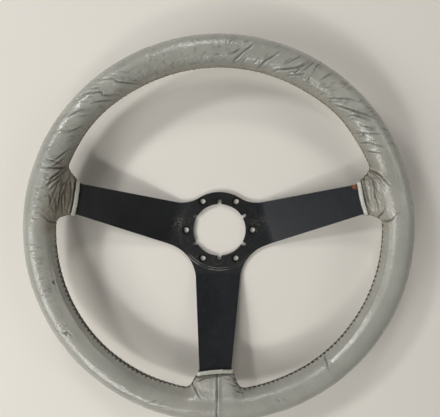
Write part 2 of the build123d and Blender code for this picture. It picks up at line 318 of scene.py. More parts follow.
def even_mesh(voxel, depth):
    """Points and faces of an even mesh on the rim's surface, or at a depth under it."""
    piece = new_object("rough", *rough_rim())
    remesh = piece.modifiers.new("remesh", "REMESH")
    remesh.mode = "VOXEL"
    remesh.voxel_size = voxel
    evaluated = piece.evaluated_get(bpy.context.evaluated_depsgraph_get())
    mesh = bpy.data.meshes.new_from_object(evaluated)
    points = np.empty(len(mesh.vertices) * 3, np.float32)
    mesh.vertices.foreach_get("co", points)
    points = points.reshape(-1, 3).astype(float)
    edges = np.empty(len(mesh.edges) * 2, np.int32)
    mesh.edges.foreach_get("vertices", edges)
    first, second = edges.reshape(-1, 2).T
    faces = [tuple(face.vertices) for face in mesh.polygons]
    bpy.data.objects.remove(piece)
    bpy.data.meshes.remove(mesh)
    degree = np.bincount(first, minlength=len(points)) + np.bincount(second, minlength=len(points))
    for _ in range(5):
        average = np.empty_like(points)
        for axis in range(3):
            total = np.bincount(first, points[second, axis], len(points))
            total += np.bincount(second, points[first, axis], len(points))
            average[:, axis] = total / degree
        points = onto_rim(points + 0.6 * (average - points), depth, rounds=1)
    return onto_rim(points, depth, rounds=2), faces


# ---- relief of the leather -------------------------------------------------------------------
class Relief:
    """How far each point of the leather stands out from the plain surface, and how much dirt and painted
    shade lies there.
    """

    def __init__(self, points):
        self.points = points
        self.normals = rim_normals(points)
        self.height = np.zeros(len(points))
        self.dirt = np.zeros(len(points))
        self.around = np.degrees(np.arctan2(points[:, 1], points[:, 0])) % 360
        centre = OUTER_RADIUS - half_width_at(self.around)
        out = np.hypot(points[:, 0], points[:, 1]) - centre
        self.section = np.degrees(np.arctan2(points[:, 2] - GRIP_HEIGHT, out)) % 360

    def fold(self, path, depth, width, swell=0.0, side=0, dirt=0.5, broken=0.0):
        """A crease along a path, with a swelling on its left side (1), its right side (-1) or both (0).

        Sizes are in millimetres. A negative depth makes a ridge. A broken one comes and goes.
        """
        reach = 5.5 * width * MM
        low, high = path.min(0) - reach, path.max(0) + reach
        near = np.flatnonzero(((self.points > low) & (self.points < high)).all(1))
        if not len(near):
            return
        steps = np.diff(path, axis=0)
        lengths = np.linalg.norm(steps, axis=1)
        from_start = self.points[near][:, None] - path[None, :-1]
        share = np.clip((from_start * steps).sum(2) / lengths**2, 0, 1)
        offset = from_start - share[..., None] * steps
        gap = np.linalg.norm(offset, axis=2)
        closest = gap.argmin(1)
        rows = np.arange(len(near))
        left = np.cross(self.normals[near], steps[closest])
        signed = gap[rows, closest] * np.sign((left * offset[rows, closest]).sum(1)) / (width * MM)
        walked = np.concatenate([[0], np.cumsum(lengths)])
        place = (walked[closest] + share[rows, closest] * lengths[closest]) / walked[-1]
        taper = np.sin(np.pi * np.clip(place, 0.02, 0.98)) ** 0.7
        facing = (self.normals[near] * rim_normals(path[[len(path) // 2]])).sum(1) > -0.2
        taper = taper * facing
        if broken:
            breaks = 0.5 + soft_noise(self.points[near], 4.5 * MM, 6) * 1.6
            taper = taper * np.clip(1 - broken * breaks, 0, 1.3)
        valley = np.exp(-(signed**2))
        pillows = bump(signed, 2.1, 1.5) * (side >= 0) + bump(signed, -2.1, 1.5) * (side <= 0)
        self.height[near] += (swell * pillows - depth * valley) * taper * MM
        # the crease's valley is darkened: partly dirt, partly painted shade
        self.dirt[near] = np.maximum(self.dirt[near], dirt * np.exp(-((signed / 1.05) ** 2)) * taper)


# The positions in the tables from here to FANS weren't all chosen by hand. Many come from places picked on a
# picture of the wheel, which a separate script turned into angles and distances, and some were then adjusted.
# folds in the grip's leather: their path over the grip, depth, width, swelling in mm and the side that swells
GRIP_FOLDS = [
    # above the right spoke, from there up to one o'clock
    (((87, 116), (84, 92)), 0.45, 0.6, 0.15, 0),
    (((86, 150), (85, 128), (83, 108)), 0.50, 0.7, 0.25, -1),
    (((86, 142), (84, 115), (82, 90), (80, 62)), 0.60, 0.7, 0.30, -1),
    (((78, 162), (76, 122), (74, 96), (72, 66)), 0.85, 0.8, 0.40, -1),
    (((73, 158), (71, 134), (66, 103), (64, 70), (63, 56)), 1.0, 0.85, 0.50, 0),
    (((70, 110), (68, 84), (66, 52)), 0.45, 0.6, 0.20, 0),
    (((68, 146), (65, 124), (63, 108)), 0.55, 0.6, 0.30, 0),
    (((66, 133), (65, 99), (63, 62)), 0.60, 0.7, 0.30, 0),
    (((64, 106), (63, 80), (62, 50)), 0.50, 0.6, 0.20, 0),
    (((61, 98), (61, 66), (60, 36)), 0.45, 0.6, 0.20, 0),
    (((58, 104), (57, 76), (56, 52)), 0.35, 0.6, 0.15, 0),
    (((53, 146), (49, 106), (45, 72)), 0.45, 0.7, 0.30, 0),
    (((50, 156), (47, 130), (44, 110), (40, 80), (38, 60)), 1.05, 0.9, 0.60, 0),
    (((44, 138), (41, 104), (38, 84)), 0.75, 0.7, 0.45, 0),
    (((40, 128), (37, 104), (35, 88)), 0.50, 0.7, 0.30, 0),
    (((38, 168), (36, 124), (33, 76)), 0.35, 0.6, 0.20, 0),
    (((34, 176), (33, 137), (31, 110), (29, 90)), 0.55, 0.7, 0.35, 0),
    (((31, 164), (29, 128), (28, 104)), 0.50, 0.6, 0.30, 0),
    # above the left spoke, up to eleven o'clock
    (((127, 60), (124, 88), (123, 106), (121, 127), (117, 158)), 0.85, 0.8, 0.35, -1),
    (((131, 66), (129, 82), (128, 98)), 0.40, 0.7, 0.25, 0),
    (((137, 52), (132, 74), (131, 86), (129, 103), (129, 119), (125, 148)), 1.05, 0.9, 0.60, 1),
    (((134, 106), (131, 126), (128, 152)), 0.50, 0.7, 0.30, 0),
    (((142, 74), (140, 84), (137, 100), (135, 124)), 0.55, 0.8, 0.40, 1),
    (((146, 92), (144, 118), (140, 146)), 0.40, 0.7, 0.25, 0),
    (((156, 104), (153, 124), (149, 148)), 0.55, 0.7, 0.30, 0),
    (((158, 106), (155, 128), (152, 150)), 0.60, 0.7, 0.35, 0),
    (((164, 118), (160, 126), (158, 140), (155, 158)), 0.95, 0.8, 0.50, 0),
    (((165, 124), (161, 146), (157, 168)), 0.70, 0.7, 0.35, 0),
    # across the lower right and beside the bottom seam
    (((311, 176), (310, 140), (309, 104)), 0.40, 0.9, 0.30, 1),
    (((289, 112), (290, 92)), 0.35, 0.5, 0.10, 0),
    (((291, 108), (292, 90)), 0.25, 0.5, 0.10, 0),
    (((274, 188), (276, 172), (279, 160)), 0.65, 0.5, 0.20, 0),
    (((276, 186), (280, 176), (283, 174)), 0.50, 0.5, 0.20, 0),
    (((275, 172), (278, 163)), 0.50, 0.5, 0.15, 0),
    (((247, 80), (248, 90), (249, 104)), 0.60, 0.5, 0.20, 1),
    (((250, 84), (251, 96)), 0.35, 0.5, 0.15, 0),
]

# ridges along the grip: path, height and width in mm, and how broken they are
GRIP_RIDGES = [
    (
        ((87, 140), (78, 138), (72, 136), (65, 128), (58, 129), (52, 124), (45, 120), (38, 112), (30, 104)),
        0.50, 1.5, 0.9,
    ),
    (((84, 120), (76, 122), (68, 112), (60, 108), (52, 106)), 0.22, 1.6, 0.9),
    (((184, 148), (193, 146), (202, 142), (213, 144), (224, 142), (233, 143)), 0.75, 1.3, 0.15),
    (((214, 84), (223, 74), (231, 71), (239, 76), (248, 86), (256, 92)), 0.42, 2.6, 0.45),
    (((20, 148), (6, 146), (350, 144), (336, 143), (322, 140), (311, 138)), 0.40, 1.2, 0.3),
    (((8, 118), (352, 116), (338, 118), (324, 120)), 0.18, 2.0, 0.5),
    (((301, 122), (294, 120), (287, 118)), 0.25, 2.2, 0.5),
]

# short marks across the left of the grip, where it was knocked or scratched: place, length in mm
SCUFFS = [
    ((172, 98), 6), ((173, 84), 5), ((174, 90), 6), ((182, 58), 5), ((182, 84), 8),
    ((183, 106), 8), ((184, 80), 6), ((186, 84), 6), ((186.6, 105), 7), ((188, 103), 5),
    ((193, 96), 6), ((196, 79), 7), ((197, 101), 6), ((198.2, 77), 7), ((199, 96), 6),
    ((208, 86), 4), ((209, 92), 5), ((210, 103), 5), ((158, 95), 5), ((159.5, 98), 5),
    ((161, 106), 6),
]

# torn places in the leather: path, depth
TEARS = [
    (((211, 79), (212, 90), (212, 100), (214, 107)), 1.0),
    (((212, 96), (213, 90)), 0.8),
    (((195, 131), (196, 136)), 0.9),
]

# small dark holes: place, radius in mm
HOLES = [((36, 134), 1.3), ((195, 133), 0.6), ((278, 168), 0.5), ((281, 160), 0.45), ((163, 112), 0.5)]

# folds on the driver's side of each root, in millimetres along and across the spoke
ROOT_FOLDS = {
    "left": [
        (((160, -11), (158, -9), (158, -2), (157, 7), (156, 17)), 0.60, 0.7, 0.30, 0),
        (((159, -12), (156, -5), (156, 1), (153, 13), (154, 20)), 0.75, 0.7, 0.35, 0),
        (((157, -24), (155, -12), (155, -5), (153, 2), (151, 12)), 0.90, 0.8, 0.50, 0),
        (((156, -24), (152, -14), (150, -6), (149, 3), (149, 12), (151, 19)), 1.10, 0.8, 0.65, 1),
        (((170, -5), (165, -13), (161, -20), (159, -27)), 0.90, 0.9, 0.50, 0),
        (((172, -10), (167, -15), (163, -20), (160, -26)), 0.60, 0.7, 0.35, 0),
        (((182, -22), (174, -23), (166, -25), (159, -28)), 0.90, 1.0, 0.55, 0),
        (((176, -31), (169, -31), (162, -30)), 0.60, 0.8, 0.35, 0),
        (((166, -1), (163, 5), (162, 12)), 0.50, 0.7, 0.30, 0),
        (((160, 2), (158, 11), (157, 19)), 0.55, 0.7, 0.30, 0),
        (((163, 10), (159, 15), (155, 24)), 0.60, 0.7, 0.35, 0),
        (((168, 19), (161, 25), (156, 29)), 0.45, 0.8, 0.25, 0),
    ],
    "right": [
        (((155, 28), (159, 24), (162, 19), (165, 13), (169, 7)), 0.95, 0.8, 0.55, 0),
        (((156, 22), (156, 12), (155, 1), (155, -8), (154, -17)), 0.50, 0.7, 0.25, 0),
        (((153, 24), (150, 17), (149, 6), (149, -4), (149, -14)), 1.00, 0.8, 0.55, -1),
        (((155, 25), (157, 19), (160, 12), (162, 4)), 0.60, 0.7, 0.35, 0),
        (((154, 24), (153, 14), (152, 5), (152, -4)), 0.55, 0.7, 0.30, 0),
        (((157, 25), (162, 20), (168, 16)), 0.50, 0.7, 0.30, 0),
        (((153, -24), (156, -18), (160, -10)), 0.55, 0.7, 0.30, 0),
        (((155, -27), (163, -23), (170, -18)), 0.45, 0.9, 0.30, 0),
    ],
    "lower": [
        (((151, -20), (149, -14), (147, -8), (147, -1)), 0.85, 0.7, 0.40, -1),
        (((146, 6), (147, 11), (148, 15), (151, 20), (152, 24)), 0.90, 0.7, 0.45, -1),
        (((152, 24), (157, 26), (162, 29)), 0.60, 0.7, 0.25, 0),
        (((151, 12), (153, 19), (155, 26)), 0.50, 0.6, 0.25, 0),
        (((154, -23), (158, -18), (163, -13)), 0.35, 0.8, 0.20, 0),
    ],
}

# fine folds that spread from the corner above a side spoke: the corner, where they end, and their depth
FANS = {
    "left": (
        (158, -27),
        ((152, 10), (154, 15), (155, 19), (157, 21), (159, 20), (161, 17), (163, 12), (165, 6), (167, -1)),
        0.42,
    ),
    "right": ((155, 27), ((151, -6), (153, -10), (155, -11), (157, -8), (160, -2), (163, 4)), 0.30),
}


def seam_line(first, second, drop):
    """The seam from the hem of one spoke, along the inside of the rim, to the hem of the next spoke.

    The drop is how many degrees it lies below the inside of the grip, midway.
    """
    def beside(spoke, side):
        seam_height = GRIP_HEIGHT - GRIP_HALF_DEPTH * math.sin(math.radians(SEAM_DROP))
        hem_height = spoke.height(spoke.collar)
        widths = [(0.5, 1.8), (4, 3.9), (9, 7.4), (13, 11.0)]
        spots = []
        for along, margin in widths:
            height = hem_height + (seam_height - hem_height) * along / 17
            spots.append(spoke.place(spoke.collar + along * MM, side * (spoke.plate + margin * MM), height))
        return spots

    sweep = angle_between(second.angle, first.angle) % 360
    stops = np.arange(11.5, sweep - 11, 2.0)
    stops = np.linspace(11.5, sweep - 11.5, len(stops))
    midway = np.minimum(ease(11.5, 30, stops), ease(11.5, 30, stops[::-1]))
    inside = on_grip(first.angle + stops, 180 + SEAM_DROP + (drop - SEAM_DROP) * midway)
    line = np.vstack([beside(first, 1), inside, beside(second, -1)[::-1]])
    return onto_rim(smooth_path(line, 6))


SEAMS = {
    "upper": seam_line(SPOKES["right"], SPOKES["left"], 18),
    "lower_left": seam_line(SPOKES["left"], SPOKES["lower"], 1),
    "lower_right": seam_line(SPOKES["lower"], SPOKES["right"], 12),
}


def gather_beside_seams(relief):
    """The groove of the seam, with the leather drawn in at each stitch."""
    for line in SEAMS.values():
        line = evenly(line, 1.0 * MM)
        for first in range(0, len(line) - 1, 40):
            stretch = line[first : first + 42]
            if len(stretch) < 2:
                continue
            low, high = stretch.min(0) - 8 * MM, stretch.max(0) + 8 * MM
            near = np.flatnonzero(((relief.points > low) & (relief.points < high)).all(1))
            gaps = np.linalg.norm(relief.points[near][:, None] - stretch[None], axis=2)
            closest = gaps.argmin(1)
            inner = (closest > 0) & (closest < len(stretch) - 1)
            near, gap, closest = near[inner], gaps.min(1)[inner], closest[inner]
            along = (first + closest) * MM
            beat = np.cos(2 * np.pi * along / STITCH_PITCH)
            groove = 1.0 * np.exp(-((gap / (1.2 * MM)) ** 2))
            puckers = 0.70 * beat * np.exp(-(((gap - 2.0 * MM) / (2.4 * MM)) ** 2))
            relief.height[near] -= (groove + puckers) * MM
            # dirt and painted shade along the seam's groove
            relief.dirt[near] = np.maximum(relief.dirt[near], 0.9 * np.exp(-((gap / (2.2 * MM)) ** 2)))


def sew_bottom(relief):
    """The groove near six o'clock where the two ends of the leather meet."""
    turn = math.radians(BUTT_SEAM_ANGLE)
    outwards = np.array([math.cos(turn), math.sin(turn), 0])
    across = relief.points @ np.array([-outwards[1], outwards[0], 0])
    below = relief.points @ outwards > 0
    edge = np.abs(across + 0.35 * MM * soft_noise(relief.points, 9 * MM, 12))
    relief.height -= below * 0.95 * np.exp(-((edge / (0.5 * MM)) ** 2)) * MM
    relief.height += below * 0.40 * bump(across, 1.9 * MM, 1.2 * MM) * MM
    relief.height += below * 0.20 * bump(across, -2.1 * MM, 1.3 * MM) * MM
    # dirt and painted shade in the groove of the bottom seam
    relief.dirt = np.maximum(relief.dirt, below * np.exp(-((edge / (0.6 * MM)) ** 2)))


def random_folds(relief, rng, count, around, section, heading, length, depth, width, swell):
    """Short folds scattered over a stretch of the grip. Each range is (lowest, highest)."""
    for _ in range(count):
        place = np.array([rng.uniform(*around), rng.uniform(*section)])
        turn = math.radians(rng.uniform(*heading))
        half = rng.uniform(*length) / 2
        # a millimetre is about a third of a degree around the wheel and four degrees around the section
        step = np.array([math.cos(turn) / 3.06, math.sin(turn) * 4.0]) * half
        bend = np.array([-math.sin(turn) / 3.06, math.cos(turn) * 4.0]) * rng.uniform(-0.18, 0.18) * half
        spots = [place - step, place + bend, place + step]
        path = grip_path(spots, 4)
        strength = rng.uniform(0.45, 1.0)
        side = int(rng.integers(-1, 2))
        relief.fold(path, depth * strength, width, swell * strength, side, dirt=0.6 * strength)


def fan_out(relief, rng, spoke, corner, ends, depth):
    """Fine folds that run together at a corner beside a spoke."""
    for end in ends:
        start = np.array(corner) + rng.uniform(-1.2, 1.2, 2)
        end = np.array(end) + rng.uniform(-1.0, 1.0, 2)
        third = start + (end - start) / 3 + np.array([rng.uniform(0.0, 1.6), 0])
        late = start + (end - start) * 2 / 3 + np.array([rng.uniform(-0.6, 1.2), 0])
        path = onto_rim(smooth_path(on_root(spoke, [start, third, late, end])), rounds=1)
        strength = rng.uniform(0.6, 1.2)
        relief.fold(path, depth * strength, rng.uniform(0.5, 0.7), 0.3 * strength, 0, dirt=0.8 * strength)


def mark(relief, rng):
    """Scuffs and tears."""
    for (around, section), length in SCUFFS:
        lean = rng.uniform(-0.25, 0.25)
        half = length / 2
        slant = lean * half / 3
        spots = [(around - slant, section - 4 * half), (around + slant, section + 4 * half)]
        path = grip_path(spots, 6)
        relief.fold(path, 0.42, 0.5, 0.36, int(rng.choice([-1, 1])), dirt=0.5)
    for places, depth in TEARS:
        path = grip_path(places)
        relief.fold(path, 1.2 * depth, 0.75, 0.45, 1, dirt=1.0)


def pierce(relief):
    """Small holes, darkened with dirt and painted shade."""
    for (around, section), radius in HOLES:
        centre = onto_rim(on_grip(np.array([float(around)]), np.array([float(section)])), rounds=1)[0]
        gap = np.linalg.norm(relief.points - centre, axis=1) / (radius * MM)
        relief.height -= 0.5 * np.exp(-(gap**2)) * MM
        relief.dirt = np.maximum(relief.dirt, np.clip(1.6 * np.exp(-(gap**2)), 0, 1))


def crease_beside_hems(relief):
    """The crease where each root meets its hem, darkened with dirt and painted shade."""
    for spoke in SPOKES.values():
        along = relief.points @ spoke.outwards
        across = spoke.beside(relief.points)
        crease = spoke.hem + 2.3 * MM + spoke.tilt * across
        near = np.exp(-(((along - crease) / (0.7 * MM)) ** 2)) * (np.abs(across) < 30 * MM) * (along > 0)
        relief.height -= 0.3 * near * MM
        relief.dirt = np.maximum(relief.dirt, 0.75 * near)


def wrinkle(relief):
    """All the relief of the leather, from the broad unevenness down to small wrinkles."""
    rng = np.random.default_rng(SEED)
    points = relief.points
    stretched = points * np.array([1, 1, 1.6])
    relief.height += 0.28 * MM * soft_noise(points, 34 * MM, 1)
    relief.height += 0.12 * MM * soft_noise(stretched, 11 * MM, 2)
    relief.height += 0.05 * MM * soft_noise(points, 3.0 * MM, 5)
    crinkled = bump(angle_between(relief.around, 103), 0, 21) * ease(0, 40, relief.section)
    crinkled *= 1 - ease(130, 165, relief.section)
    relief.height += 0.22 * MM * crinkled * creased_noise(points, 2.6 * MM, 3)
    inner_chain = bump(angle_between(relief.around, 56), 0, 27) * bump(relief.section, 124, 24)
    relief.height += 0.26 * MM * inner_chain * creased_noise(points, 3.2 * MM, 4)
    upper = np.sin(np.radians(relief.around)) > 0.05
    relief.height += 0.10 * MM * upper * creased_noise(points, 5.5 * MM, 7)
    random_folds(relief, rng, 60, (28, 88), (50, 150), (35, 72), (5, 12), 0.30, 0.6, 0.14)
    random_folds(relief, rng, 90, (84, 124), (20, 150), (0, 180), (2, 6), 0.22, 0.55, 0.12)
    random_folds(relief, rng, 46, (118, 158), (40, 160), (105, 150), (5, 12), 0.30, 0.6, 0.16)
    random_folds(relief, rng, 30, (48, 68), (108, 140), (40, 110), (4, 9), 0.40, 0.6, 0.30)
    random_folds(relief, rng, 40, (152, 172), (80, 135), (60, 120), (3, 7), 0.24, 0.55, 0.12)
    random_folds(relief, rng, 30, (186, 212), (60, 120), (70, 110), (2, 5), 0.16, 0.5, 0.10)
    random_folds(relief, rng, 90, (0, 360), (200, 340), (40, 140), (5, 14), 0.20, 0.8, 0.10)
    for places, height, width, broken in GRIP_RIDGES:
        spots = np.array(places, float)
        spots[:, 0] = np.degrees(np.unwrap(np.radians(spots[:, 0])))
        path = grip_path(spots)
        relief.fold(path, -height, width, dirt=0.0, broken=broken)
    for places, depth, width, swell, side in GRIP_FOLDS:
        path = grip_path(places)
        relief.fold(path, depth * 1.15, width, swell * 1.15, side, dirt=0.9)
    for name, folds in ROOT_FOLDS.items():
        for places, depth, width, swell, side in folds:
            path = smooth_path(on_root(SPOKES[name], places))
            relief.fold(onto_rim(path, rounds=1), depth * 1.2, width, swell * 1.2, side, dirt=1.0)
    for name, (corner, ends, depth) in FANS.items():
        fan_out(relief, rng, SPOKES[name], corner, ends, depth)
    mark(relief, rng)
    pierce(relief)
    crease_beside_hems(relief)
    sew_bottom(relief)
    gather_beside_seams(relief)


def soil_and_inner_shade(relief):
    """Brown dirt on the roots, a browner band along the inside of the grip that is partly dirt and partly
    painted shade, and a worn tan edge at three o'clock.
    """
    soil = np.zeros(len(relief.points))
    for spoke in SPOKES.values():
        along = relief.points @ spoke.outwards
        across = np.abs(spoke.beside(relief.points))
        amount = {"left": 0.9, "right": 0.45, "lower": 0.1}[spoke.name]
        patch = (1 - ease(158 * MM, 172 * MM, along)) * (1 - ease(28 * MM, 42 * MM, across)) * (along > 0)
        soil = np.maximum(soil, amount * patch)
    # the inside of the grip: brown dirt and painted shade, stronger towards twelve o'clock
    inside = bump(relief.section, 178, 26) * (0.35 + 0.4 * np.sin(np.radians(relief.around)))
    worn_edge = 0.8 * bump(angle_between(relief.around, 10), 0, 24) * bump(relief.section, 31, 8)
    inside = np.maximum(inside, worn_edge)
    return np.clip(np.maximum(soil, inside), 0, 1)


# ---- materials -------------------------------------------------------------------------------
class Shading:
    """A material's node tree, with short calls for the nodes that these materials use."""

    def __init__(self, name):
        self.material = bpy.data.materials.new(name)
        self.material.use_nodes = True
        self.nodes = self.material.node_tree.nodes
        self.surface = self.nodes["Principled BSDF"]
        self.place = self.add("ShaderNodeTexCoord").outputs["Object"]

    def add(self, kind, **settings):
        node = self.nodes.new(kind)
        for name, value in settings.items():
            setattr(node, name, value)
        return node

    def feed(self, socket, value):
        """Sets a socket to a number or a colour, or links it."""
        if isinstance(value, bpy.types.NodeSocket):
            self.material.node_tree.links.new(value, socket)
        else:
            socket.default_value = value

    def noise(self, scale, detail=3.0, roughness=0.55, distortion=0.0):
        node = self.add("ShaderNodeTexNoise")
        self.feed(node.inputs["Vector"], self.place)
        values = {"Scale": scale, "Detail": detail, "Roughness": roughness, "Distortion": distortion}
        for name, value in values.items():
            node.inputs[name].default_value = value
        return node.outputs["Fac"]

    def cells(self, scale, feature="DISTANCE_TO_EDGE"):
        node = self.add("ShaderNodeTexVoronoi", feature=feature)
        self.feed(node.inputs["Vector"], self.place)
        node.inputs["Scale"].default_value = scale
        return node.outputs["Distance"]

    def attribute(self, name):
        return self.add("ShaderNodeAttribute", attribute_name=name).outputs["Fac"]

    def math(self, operation, first, second=0.0, third=0.0):
        node = self.add("ShaderNodeMath", operation=operation)
        for socket, value in zip(node.inputs, (first, second, third)):
            self.feed(socket, value)
        return node.outputs[0]

    def times(self, first, second):
        return self.math("MULTIPLY", first, second)

    def spread(self, value, low, high, to_low=0.0, to_high=1.0):
        """Maps a range of values onto another, held at both ends."""
        node = self.add("ShaderNodeMapRange", interpolation_type="SMOOTHSTEP")
        for socket, number in zip(node.inputs, (value, low, high, to_low, to_high)):
            self.feed(socket, number)
        return node.outputs[0]

    def mix(self, share, first, second, blend="MIX"):
        node = self.add("ShaderNodeMix", data_type="RGBA", blend_type=blend)
        self.feed(node.inputs["Factor"], share)
        self.feed(node.inputs[6], first)
        self.feed(node.inputs[7], second)
        return node.outputs[2]

    def bump(self, height, distance, strength=1.0, under=None):
        """Small relief. The height is from 0 to 1 and the distance in metres."""
        node = self.add("ShaderNodeBump")
        node.inputs["Distance"].default_value = distance
        node.inputs["Strength"].default_value = strength
        self.feed(node.inputs["Height"], height)
        if under is not None:
            self.feed(node.inputs["Normal"], under)
        return node.outputs["Normal"]

    def finish(self, **inputs):
        """Sets or links the Principled shader's inputs, named with underscores."""
        for name, value in inputs.items():
            self.feed(self.surface.inputs[name.replace("_", " ")], value)
        return self.material


def colour(red, green, blue):
    """A colour from screen values of 0 to 255."""
    def linear(value):
        value /= 255
        return value / 12.92 if value <= 0.04045 else ((value + 0.055) / 1.055) ** 2.4

    return (linear(red), linear(green), linear(blue), 1.0)


def leather_material(name, base, pale, brown):
    """Old smooth leather: fine grain, uneven tone, dirt and painted shade in folds, gloss where hands
    polished it.
    """
    m = Shading(name)
    tone = m.spread(m.noise(28, 4), 0.3, 0.7)
    blotch = m.spread(m.noise(9, 2, distortion=0.6), 0.35, 0.68)
    fine = m.noise(420, 3)
    speckle = m.spread(m.noise(620, 4, 0.7), 0.3, 0.7)
    skin = m.mix(tone, base, pale)
    skin = m.mix(m.times(blotch, 0.35), skin, colour(146, 148, 143))
    skin = m.mix(m.times(speckle, 0.10), skin, colour(124, 122, 112))
    # brown soil on the roots, worn tan at three o'clock, and dirt with painted shade along the inside of the
    # grip
    soil = m.times(m.attribute("soil"), m.spread(m.noise(120, 4), 0.25, 0.75, 0.35, 1.0))
    skin = m.mix(soil, skin, brown)
    # dirt and painted shade in folds, seams, holes and tears, mixed towards a dark brown
    dirt = m.times(m.attribute("dirt"), m.spread(m.noise(300, 2), 0.2, 0.6, 0.6, 1.0))
    skin = m.mix(dirt, skin, colour(40, 36, 30))
    specks = m.spread(m.cells(160, "F1"), 0.10, 0.16, 0.35, 0.0)
    specks = m.times(specks, m.spread(m.noise(34, 2), 0.56, 0.66))
    skin = m.mix(specks, skin, colour(80, 74, 62))
    gloss = m.math("ADD", m.spread(m.noise(60, 4), 0.3, 0.7, 0.15, 0.27), m.times(soil, 0.22))
    gloss = m.math("ADD", gloss, m.times(m.attribute("dirt"), 0.25))
    gloss = m.math("ADD", gloss, m.times(m.math("SUBTRACT", fine, 0.5), 0.12))
    grain = m.math("POWER", m.cells(850), 0.5)
    pores = m.bump(grain, 0.00014, 0.5)
    waves = m.bump(m.noise(260, 4, 0.6), 0.0006, 0.32, under=pores)
    return m.finish(Base_Color=skin, Roughness=gloss, Normal=waves, Specular_IOR_Level=0.65)


def thread_material(name):
    """Waxed thread, twisted and dirty."""
    m = Shading(name)
    tone = m.spread(m.noise(700, 3), 0.3, 0.7)
    twist = m.add("ShaderNodeTexWave", wave_type="BANDS", bands_direction="DIAGONAL")
    m.feed(twist.inputs["Vector"], m.place)
    twist.inputs["Scale"].default_value = 900
    shade = m.mix(tone, colour(58, 55, 48), colour(104, 100, 90))
    strands = m.bump(twist.outputs["Fac"], 0.0001)
    return m.finish(Base_Color=shade, Roughness=m.spread(tone, 0, 1, 0.5, 0.7), Normal=strands)


def paint_material():
    """Satin black paint: fine orange peel, dust, scuffs by the side holes, a boss's ring mark, and a painted
    reflection that turns it bluer and lighter towards the right.
    """
    m = Shading("satin_black_paint")
    split = m.add("ShaderNodeSeparateXYZ")
    m.feed(split.inputs[0], m.place)
    x, y = split.outputs["X"], split.outputs["Y"]

    def distance(across, up):
        """Distance in the plane from a point of the hub."""
        dx, dy = m.math("SUBTRACT", x, across), m.math("SUBTRACT", y, up)
        return m.math("SQRT", m.math("ADD", m.times(dx, dx), m.times(dy, dy)))

    def circle(value, size, thickness):
        """A thin line where a distance has a given size."""
        return m.spread(m.math("ABSOLUTE", m.math("SUBTRACT", value, size)), 0.0, thickness, 1.0, 0.0)

    radius = distance(0.0, 0.0)
    below = m.spread(y, -0.030, -0.022, 1.0, 0.0)
    inner_ring = m.times(circle(radius, 0.0404, 0.0007), 0.8)
    ring = m.math("MAXIMUM", circle(radius, 0.0428, 0.0009), inner_ring)
    ring = m.times(ring, m.spread(m.noise(90, 3), 0.38, 0.58, 0.15, 1.0))
    ring = m.times(ring, m.spread(below, 0, 1, 0.12, 1.0))
    lopsided = m.spread(x, -0.030, 0.030, 1.0, 0.25)
    ring = m.times(ring, lopsided)
    washer = m.times(circle(distance(-0.0015, -0.0315), 0.0050, 0.0006), 0.6)
    hub = m.spread(radius, 0.036, 0.050, 1.0, 0.0)
    left_side = m.spread(distance(-0.040, 0.007), 0.004, 0.014, 1.0, 0.0)
    right_side = m.spread(distance(0.040, 0.007), 0.004, 0.015, 1.0, 0.0)
    beside = m.math("MAXIMUM", left_side, right_side)
    scratched = m.spread(m.noise(300, 5, 0.8, distortion=2.0), 0.54, 0.60)
    scuffs = m.times(beside, scratched)
    dust = m.spread(m.noise(340, 5, 0.7), 0.55, 0.75)
    cloud = m.spread(m.noise(16, 3), 0.3, 0.7)
    # painted reflection: the black turns bluer and lighter towards the right
    tint = m.spread(x, -0.15, 0.15)
    shade = m.mix(tint, colour(17, 17, 16), colour(25, 29, 35))
    shade = m.mix(m.times(cloud, 0.5), shade, colour(17, 19, 22))
    shade = m.mix(m.times(hub, 0.75), shade, colour(6, 7, 6))
    shade = m.mix(m.times(dust, 0.08), shade, colour(120, 116, 108))
    shade = m.mix(m.times(m.times(hub, dust), 0.30), shade, colour(84, 76, 64))
    shade = m.mix(m.times(scuffs, 0.55), shade, colour(112, 109, 102))
    shade = m.mix(m.times(ring, 0.85), shade, colour(136, 136, 130))
    shade = m.mix(washer, shade, colour(62, 62, 58))
    rust_edge = m.math("ADD", distance(0.1335, 0.0475), m.times(m.noise(300, 3), 0.004))
    rust = m.spread(rust_edge, 0.003, 0.0055, 1.0, 0.0)
    shade = m.mix(m.times(rust, 0.75), shade, colour(140, 84, 40))
    gloss = m.math("ADD", m.spread(cloud, 0, 1, 0.34, 0.44), m.times(hub, 0.10))
    gloss = m.math("ADD", gloss, m.times(scuffs, 0.25))
    peel = m.bump(m.noise(650, 2), 0.00012, 0.5)
    surface = m.bump(scratched, 0.00006, 0.5, under=peel)
    return m.finish(Base_Color=shade, Roughness=gloss, Specular_IOR_Level=0.4, Normal=surface)


def metal_material(name, shade, dull):
    """Plain steel or aluminium, finely rough, with light oxidation."""
    m = Shading(name)
    spots = m.spread(m.noise(180, 4), 0.45, 0.7)
    mixed = m.mix(spots, shade, dull)
    gloss = m.spread(spots, 0, 1, 0.28, 0.5)
    roughened = m.bump(m.noise(900, 2), 0.00005)
    return m.finish(Base_Color=mixed, Roughness=gloss, Metallic=1.0, Normal=roughened)


def foam_material():
    """Moulded foam with a fine open skin."""
    m = Shading("rim_foam")
    pores = m.cells(700)
    shade = m.mix(m.spread(m.noise(60, 3), 0.3, 0.7), colour(38, 38, 37), colour(54, 53, 50))
    return m.finish(Base_Color=shade, Roughness=0.85, Normal=m.bump(pores, 0.0003, 0.6))


